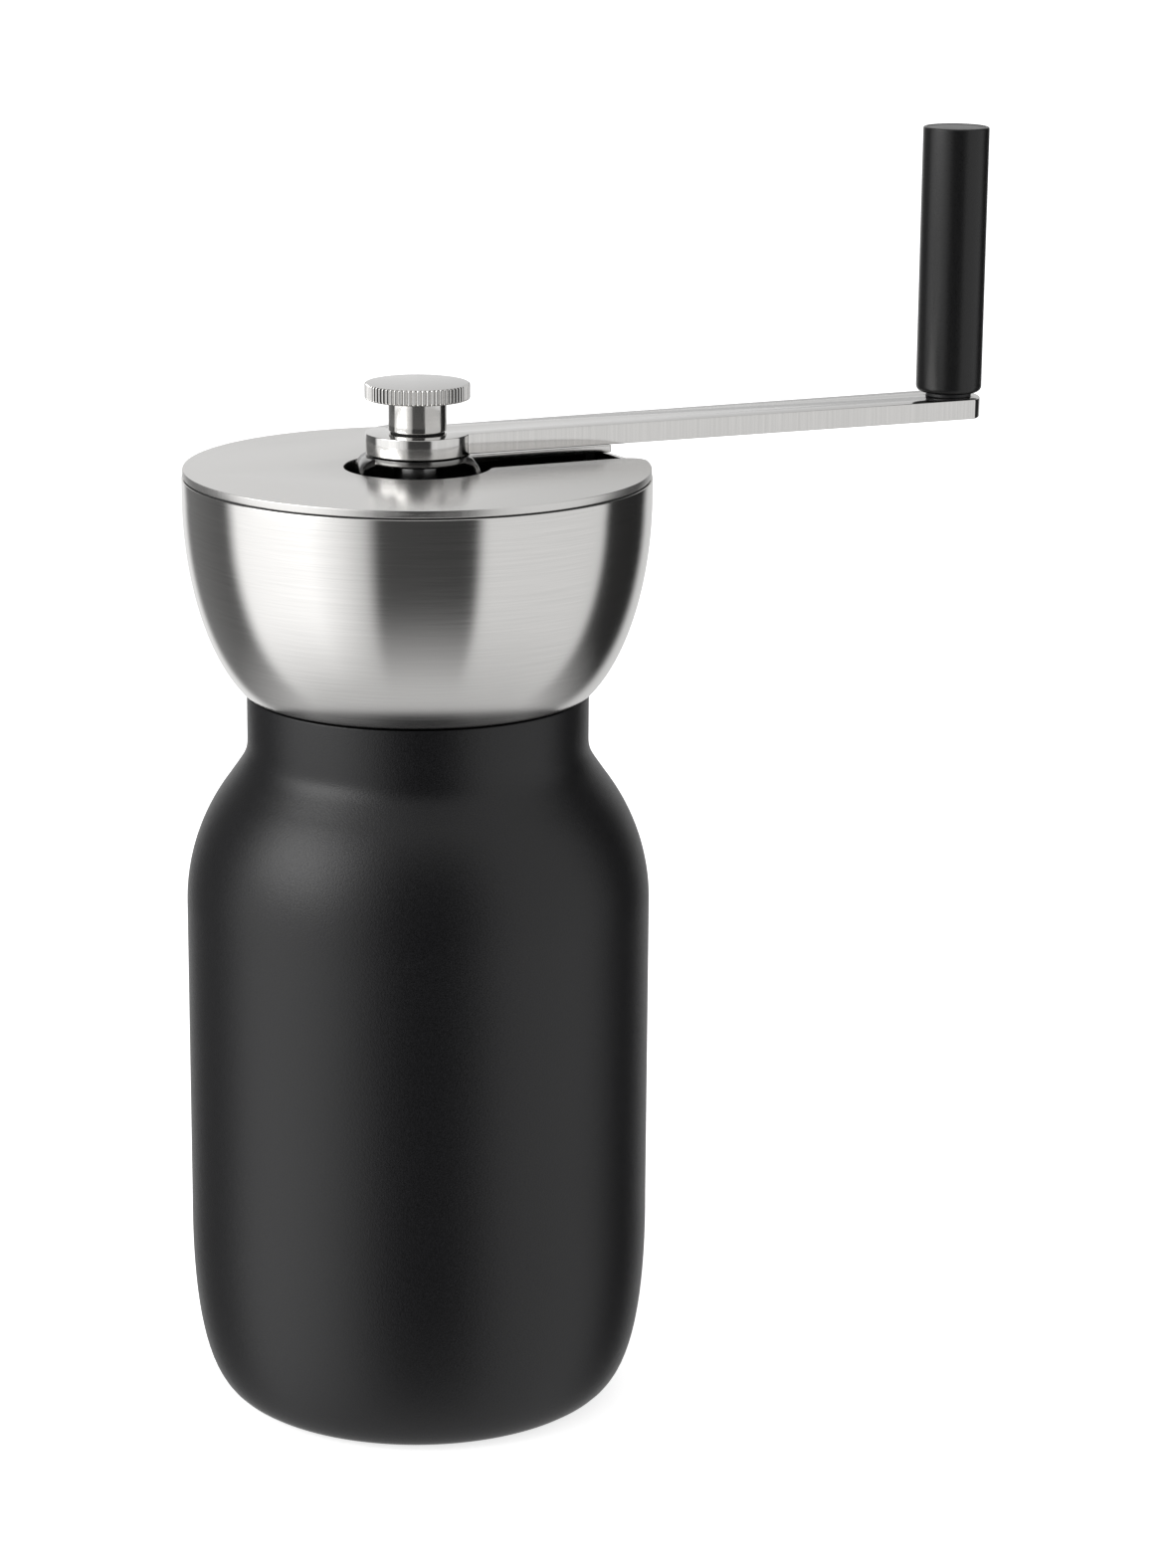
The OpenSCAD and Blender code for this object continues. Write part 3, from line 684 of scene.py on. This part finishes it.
class GRINDER_OT_grip(bpy.types.Operator):
    """Spins the grip's sleeve and the disc that closes its top"""

    bl_idname = "grinder.grip"
    bl_label = "Grip"

    def execute(self, context):
        bottom, top = low("grip_sleeve").z, high("grip_sleeve").z
        radius = half_width("grip_sleeve")
        hole = bore("grip_sleeve", GRIP_AXIS)
        cap_r = half_width("grip_cap")
        seat = low("grip_cap").z + CAP_SEAT
        sleeve = eased([
            (hole, bottom, 0.2 * MM), (radius, bottom, 1.25 * MM), (radius, top, 0.4 * MM),
            (cap_r, top, 0.12 * MM), (cap_r, seat, 0), (hole, seat, 0)])
        bm = turned(sleeve, GRIP_AXIS, 128)
        black = MATERIALS["grip_black"]
        finish_mesh("grip", bm, black, "grip", ["grip_sleeve"])
        cap_low, cap_top = low("grip_cap").z, high("grip_cap").z
        cap = eased([
            (0, cap_top, 0), (cap_r, cap_top, 0.15 * MM), (cap_r, seat, 0), (hole, seat, 0),
            (hole, cap_low, 0.3 * MM), (0, cap_low, 0)])
        bm = turned(cap, GRIP_AXIS, 128)
        finish_mesh("grip_top_disc", bm, black, "grip", ["grip_cap"])
        return {"FINISHED"}


# ---------------------------------------------------------------- bearings and other turned rings


BRIDGE_EDGE = 0.15 * MM


class GRINDER_OT_bridge(bpy.types.Operator):
    """Eases the edges of the stamped bearing bridge"""

    bl_idname = "grinder.bridge"
    bl_label = "Bearing bridge"

    def execute(self, context):
        bm = merged_copy("bearing_bridge", BRIDGE_EDGE)
        steel = MATERIALS["bridge_steel"]
        finish_mesh("bridge", bm, steel, "head", ["bearing_bridge"])
        return {"FINISHED"}


# the axis of each turned ring, and the radius of its eased edges in millimetres
RINGS = {
    "bearing_sleeve": (AXIS, 0.2), "upper_bush": (AXIS, 0.1), "lower_bush": (AXIS, 0.1),
    "lock_washer": (AXIS, 0.08), "thrust_washer": (AXIS, 0.15), "shaft_circlip": (AXIS, 0.15),
    "jar_gasket": (AXIS, 0.4), "jar_thread_ring": (AXIS, 0.25), "jar_foot_pad": (AXIS, 0.3),
    "grip_washer": (GRIP_AXIS, 0.15), "grip_lower_bush": (GRIP_AXIS, 0.2),
    "grip_upper_bush": (GRIP_AXIS, 0.2),
}


class GRINDER_OT_spring(bpy.types.Operator):
    """Copies the pressure spring, a little shorter, so that it clears the burr at every gap"""

    bl_idname = "grinder.spring"
    bl_label = "Pressure spring"

    def execute(self, context):
        s = context.scene.grinder_sizes
        bm = merged_copy("pressure_spring", 0)
        fixed, free = high("pressure_spring"), low("pressure_spring")
        squeeze = 1 - s.spring_room / (fixed.z - free.z)
        for v in bm.verts:
            v.co.z = fixed.z + (v.co.z - fixed.z) * squeeze
        steel = MATERIALS["zinc_steel"]
        finish_mesh("spring", bm, steel, "crank", ["pressure_spring"])
        return {"FINISHED"}


class GRINDER_OT_rings(bpy.types.Operator):
    """Spins each bush, washer, sleeve and ring with eased edges"""

    bl_idname = "grinder.rings"
    bl_label = "Bushes, washers and rings"

    def execute(self, context):
        for node, (centre, edge) in RINGS.items():
            inner, outer = bore(node, centre), half_width(node)
            bottom, top = low(node).z, high(node).z
            e = edge * MM
            corners = [(inner, bottom, e), (outer, bottom, e), (outer, top, e), (inner, top, e)]
            bm = turned(eased(corners, 3), centre, 96)
            slot = SLOT_OF[node]
            # the bearing sleeve takes the darkened finish, painted shade, in place of its slot's
            # finish
            finish = MATERIALS["sleeve_steel" if node == "bearing_sleeve" else slot]
            finish_mesh(node + "_turned", bm, finish, BODY_OF[node], [node])
        return {"FINISHED"}


# ---------------------------------------------------------------- studio


FLOOR_HALF = 6.0
FLOOR_DROP = 0.05 * MM  # the floor stays clear of the foot pad's face
FLOOR_GLOW = 0.75
HEADROOM = 2.0  # a ramp holds 1 at most, so brightness is stored at half and doubled
# where each wall starts or ends, in degrees to the right of the camera, and how bright it is
WALLS = (
    (-180, 0.84), (-158, 0.9), (-150, 0.2), (-106, 0.1), (-98, 1.2), (-54, 1.35), (-36, 0.95),
    (-26, 0.66), (-19, 0.06), (28, 0.05), (33, 0.8), (102, 0.76), (106, 0.03), (142, 0.02),
    (152, 0.7), (172, 0.68), (180, 0.82),
)
CEILING_FADE = (0.55, 0.9)  # heights of the view direction between wall and ceiling
TABLE_FADE = (-0.5, -0.85)


def grey(level):
    """A stored colour for a brightness."""
    return (level / HEADROOM, level / HEADROOM, level / HEADROOM, 1)


class GRINDER_OT_studio(bpy.types.Operator):
    """Sets the camera, the white studio and its dark and light walls"""

    bl_idname = "grinder.studio"
    bl_label = "Studio"

    def execute(self, context):
        scene = context.scene
        t = scene.grinder_studio
        camera = bpy.data.cameras.new("camera")
        camera.lens = t.lens
        camera.sensor_width = 36
        camera.sensor_fit = "AUTO"
        camera.clip_start = 0.05
        camera.clip_end = 50
        eye = bpy.data.objects.new("camera", camera)
        scene.collection.objects.link(eye)
        lid_top = high("lid_plate").z
        across = -math.sin(t.bearing) * t.distance, -math.cos(t.bearing) * t.distance
        at = Vector((*across, lid_top + t.lift))
        turn = (
            Matrix.Rotation(-(t.bearing + t.aside), 4, "Z")
            @ Matrix.Rotation(math.pi / 2 - t.pitch, 4, "X")
            @ Matrix.Rotation(t.roll, 4, "Z")
        )
        eye.matrix_world = Matrix.Translation(at) @ turn
        scene.camera = eye
        self.make_floor(scene)
        self.make_softbox(scene, t)
        self.make_world(scene, t)
        scene.view_settings.view_transform = "Standard"
        return {"FINISHED"}

    def make_floor(self, scene):
        """A white floor that the steel doesn't mirror, so that the walls reach below it there."""
        bm = bmesh.new()
        bmesh.ops.create_grid(bm, x_segments=1, y_segments=1, size=FLOOR_HALF)
        mesh = bpy.data.meshes.new("floor")
        bm.to_mesh(mesh)
        bm.free()
        floor = bpy.data.objects.new("floor", mesh)
        scene.collection.objects.link(floor)
        floor.location.z = -FLOOR_DROP
        floor.visible_glossy = False
        paint, _, shader = node_tree("floor_white")
        shader.inputs["Base Color"].default_value = (0.9, 0.9, 0.9, 1)
        shader.inputs["Roughness"].default_value = 0.8
        shader.inputs["Emission Color"].default_value = (1, 1, 1, 1)
        shader.inputs["Emission Strength"].default_value = FLOOR_GLOW
        mesh.materials.append(paint)

    def make_softbox(self, scene, t):
        """A large soft light to the camera's left, turned towards the origin."""
        lamp = bpy.data.lights.new("softbox", "AREA")
        lamp.shape = "RECTANGLE"
        lamp.size, lamp.size_y = t.softbox_width, t.softbox_height
        lamp.energy = t.softbox_power
        box = bpy.data.objects.new("softbox", lamp)
        scene.collection.objects.link(box)
        box.visible_camera = False
        spot = t.bearing + t.softbox_turn
        towards = Vector((-math.sin(spot), -math.cos(spot), math.tan(t.softbox_rise))).normalized()
        box.location = towards * t.softbox_distance
        box.rotation_euler = towards.to_track_quat("Z", "Y").to_euler()

    def make_world(self, scene, t):
        """A white room with upright dark and light walls, turned so that they face the bowl."""
        world = bpy.data.worlds.new("studio")
        scene.world = world
        world.use_nodes = True
        tree = world.node_tree
        background = tree.nodes["Background"]
        where = tree.nodes.new("ShaderNodeTexCoord")
        turn = tree.nodes.new("ShaderNodeMapping")
        turn.inputs["Rotation"].default_value = (0, 0, t.bearing)
        split = tree.nodes.new("ShaderNodeSeparateXYZ")
        link(tree, where.outputs["Generated"], turn.inputs["Vector"])
        link(tree, turn.outputs["Vector"], split.inputs["Vector"])
        # after the turn the camera stands towards -Y, and +X is to its right
        flip = tree.nodes.new("ShaderNodeMath")
        flip.operation = "MULTIPLY"
        flip.inputs[1].default_value = -1
        link(tree, split.outputs["Y"], flip.inputs[0])
        angle = tree.nodes.new("ShaderNodeMath")
        angle.operation = "ARCTAN2"
        link(tree, split.outputs["X"], angle.inputs[0])
        link(tree, flip.outputs[0], angle.inputs[1])
        part = spread(tree, angle.outputs[0], 0, 1, -math.pi, math.pi)
        ramp = tree.nodes.new("ShaderNodeValToRGB")
        ramp.color_ramp.elements[0].position = 0
        ramp.color_ramp.elements[1].position = 1
        ramp.color_ramp.elements[0].color = grey(WALLS[0][1])
        for degrees, level in WALLS[1:-1]:
            ramp.color_ramp.elements.new((degrees + 180) / 360).color = grey(level)
        ramp.color_ramp.elements[len(WALLS) - 1].color = grey(WALLS[-1][1])
        link(tree, part, ramp.inputs["Fac"])
        # the walls end in a pale ceiling above and in the pale table below
        colour_so_far = ramp.outputs["Color"]
        for fade, level in ((CEILING_FADE, t.ceiling), (TABLE_FADE, t.table)):
            mix = tree.nodes.new("ShaderNodeMix")
            mix.data_type = "RGBA"
            mix.inputs["B"].default_value = grey(level)
            link(tree, spread(tree, split.outputs["Z"], 0, 1, *fade), mix.inputs["Factor"])
            link(tree, colour_so_far, mix.inputs["A"])
            colour_so_far = mix.outputs["Result"]
        link(tree, colour_so_far, background.inputs["Color"])
        background.inputs["Strength"].default_value = HEADROOM * t.sky
        # seen directly the room is plain white
        white = tree.nodes.new("ShaderNodeBackground")
        white.inputs["Color"].default_value = (1, 1, 1, 1)
        seen = tree.nodes.new("ShaderNodeLightPath")
        choose = tree.nodes.new("ShaderNodeMixShader")
        link(tree, seen.outputs["Is Camera Ray"], choose.inputs[0])
        link(tree, background.outputs[0], choose.inputs[1])
        link(tree, white.outputs[0], choose.inputs[2])
        link(tree, choose.outputs[0], tree.nodes["World Output"].inputs["Surface"])


# ---------------------------------------------------------------- panel and main


OPERATORS = [
    GRINDER_OT_finishes, GRINDER_OT_jar, GRINDER_OT_bowl, GRINDER_OT_lid, GRINDER_OT_crank_arm,
    GRINDER_OT_knob, GRINDER_OT_grip, GRINDER_OT_bridge, GRINDER_OT_spring, GRINDER_OT_rings,
    GRINDER_OT_studio,
]


class GRINDER_PT_panel(bpy.types.Panel):
    """Lists the grinder's operators in the sidebar"""

    bl_idname = "GRINDER_PT_panel"
    bl_label = "Coffee grinder"
    bl_space_type = "VIEW_3D"
    bl_region_type = "UI"
    bl_category = "Grinder"

    def draw(self, context):
        for operator in OPERATORS:
            self.layout.operator(operator.bl_idname)
        for group_name in GROUPS:
            group = getattr(context.scene, group_name)
            for name in group.__annotations__:
                self.layout.prop(group, name)


GROUPS = {
    "grinder_sizes": GrinderSizes,
    "grinder_finish": GrinderFinish,
    "grinder_studio": GrinderStudio,
}


def register():
    for name, group in GROUPS.items():
        bpy.utils.register_class(group)
        setattr(bpy.types.Scene, name, bpy.props.PointerProperty(type=group))
    for cls in [*OPERATORS, GRINDER_PT_panel]:
        bpy.utils.register_class(cls)


def unregister():
    for cls in [GRINDER_PT_panel, *reversed(OPERATORS)]:
        bpy.utils.unregister_class(cls)
    for name, group in GROUPS.items():
        delattr(bpy.types.Scene, name)
        bpy.utils.unregister_class(group)


def main():
    register()
    for operator in OPERATORS:
        family, name = operator.bl_idname.split(".")
        getattr(getattr(bpy.ops, family), name)()


if __name__ == "__main__":
    main()
